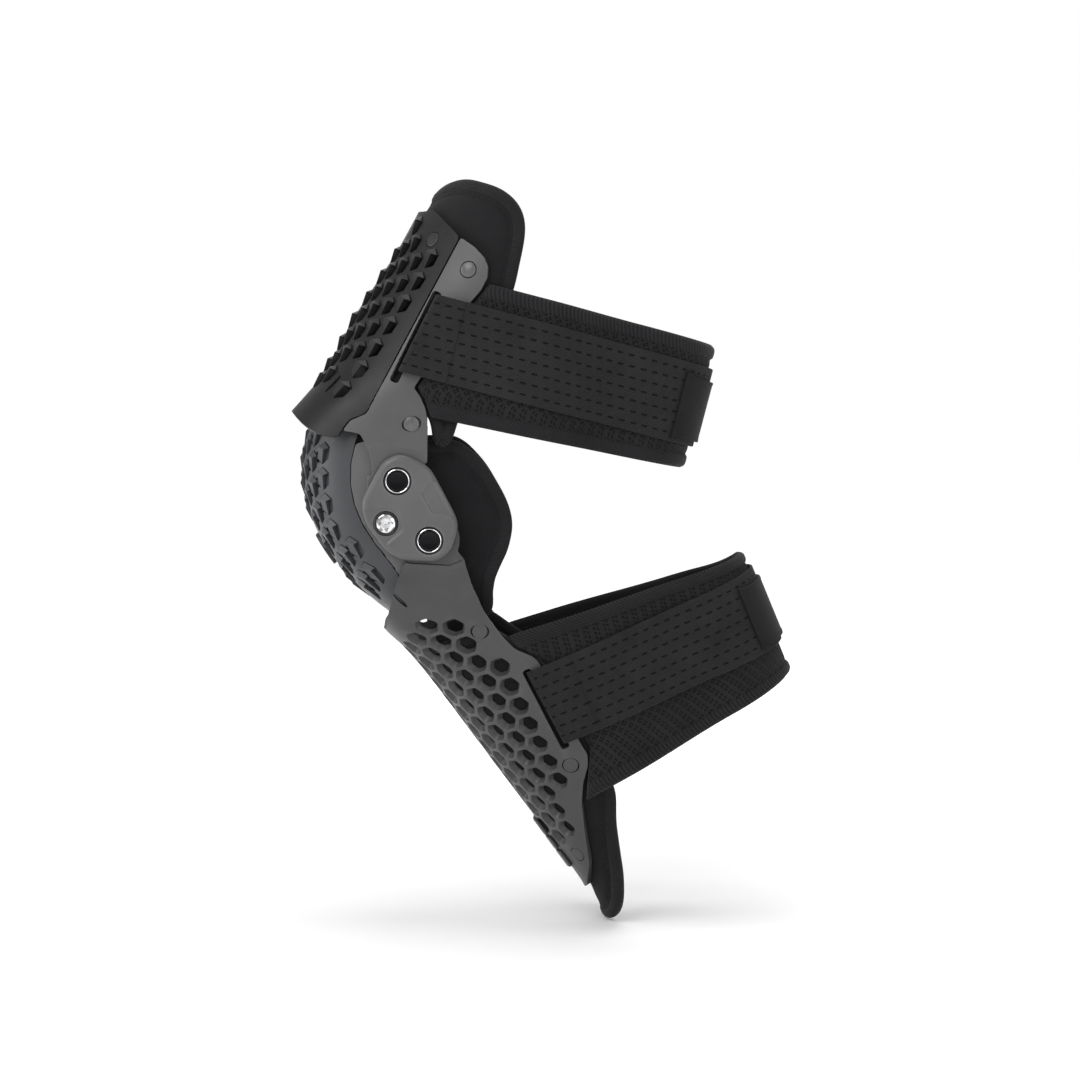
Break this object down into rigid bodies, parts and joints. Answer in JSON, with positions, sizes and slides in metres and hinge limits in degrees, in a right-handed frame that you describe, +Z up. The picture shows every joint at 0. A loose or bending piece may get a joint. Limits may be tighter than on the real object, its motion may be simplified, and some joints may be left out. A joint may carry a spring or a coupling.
{
  "type": "knee guard",
  "caption": "Hinged riding knee guard: studded thigh plate, floating knee cup with geared side hinges, perforated shin plate, foam liners and elastic straps.",
  "frame": {"origin": "centre of the knee, midway between the upper and lower pivots of each side hinge and midway between the two hinges", "axes": "+X the outer side of the leg, -Y forward out of the kneecap, +Z up; the guard is bent by about 65 degrees"},
  "size_m": [0.153, 0.3131, 0.4648],
  "materials": {
    "thigh_plate": "satin moulded, charcoal black",
    "frame": "satin moulded, dark grey",
    "knee_cup": "satin moulded, dark grey",
    "hinge_cover": "satin moulded, mid grey",
    "shin_plate": "satin moulded, dark grey",
    "pivot_cap": "polished black",
    "bright_metal": "polished",
    "rivet": "satin black",
    "liner": "knit-faced foam, black",
    "elastic": "ribbed elastic webbing, black",
    "strap_pad": "perforated foam laminate, black",
    "hook_tab": "smooth laminate with hook backing, black"
  },
  "bodies": {
    "knee": {"knee_cup": "knee_cup", "cup_badge": "knee_cup", "knee_liner": "liner", "cup_ear_left": "frame", "cup_ear_right": "frame", "hinge_cover_left": "hinge_cover", "hinge_cover_right": "hinge_cover", "cover_stud_left": "bright_metal", "cover_stud_right": "bright_metal", "pivot_pin_upper_left": "pivot_cap", "pivot_pin_upper_right": "pivot_cap", "pivot_pin_lower_left": "pivot_cap", "pivot_pin_lower_right": "pivot_cap", "pivot_ring_upper_left": "bright_metal", "pivot_ring_upper_right": "bright_metal", "pivot_ring_lower_left": "bright_metal", "pivot_ring_lower_right": "bright_metal"},
    "thigh": {"thigh_plate": "thigh_plate", "thigh_frame_left": "frame", "thigh_frame_right": "frame", "thigh_liner": "liner", "thigh_strap": "elastic", "thigh_strap_pad": "strap_pad", "thigh_strap_tab": "hook_tab", "thigh_rivet_left_1": "rivet", "thigh_rivet_left_2": "rivet", "thigh_rivet_left_3": "rivet", "thigh_rivet_right_1": "rivet", "thigh_rivet_right_2": "rivet", "thigh_rivet_right_3": "rivet"},
    "shin": {"shin_plate": "shin_plate", "shin_liner": "liner", "shin_strap": "elastic", "shin_strap_pad": "strap_pad", "shin_strap_tab": "hook_tab", "shin_bar_1": "shin_plate", "shin_bar_2": "shin_plate", "shin_bar_3": "shin_plate", "shin_rivet_left_1": "rivet", "shin_rivet_left_2": "rivet", "shin_rivet_left_3": "rivet", "shin_rivet_right_1": "rivet", "shin_rivet_right_2": "rivet", "shin_rivet_right_3": "rivet"}
  },
  "joints": [
    {"name": "thigh_flex", "type": "hinge", "parent": "knee", "child": "thigh", "pos_m": [0, -0.0095, 0.0179], "axis": [-1, 0, 0], "range_deg": [-32, 15]},
    {"name": "shin_flex", "type": "hinge", "parent": "knee", "child": "shin", "pos_m": [0, 0.0095, -0.0179], "axis": [1, 0, 0], "range_deg": [-32, 15]}
  ],
  "couplings": [
    {"joint": "shin_flex", "follows": "thigh_flex", "ratio": 1}
  ]
}
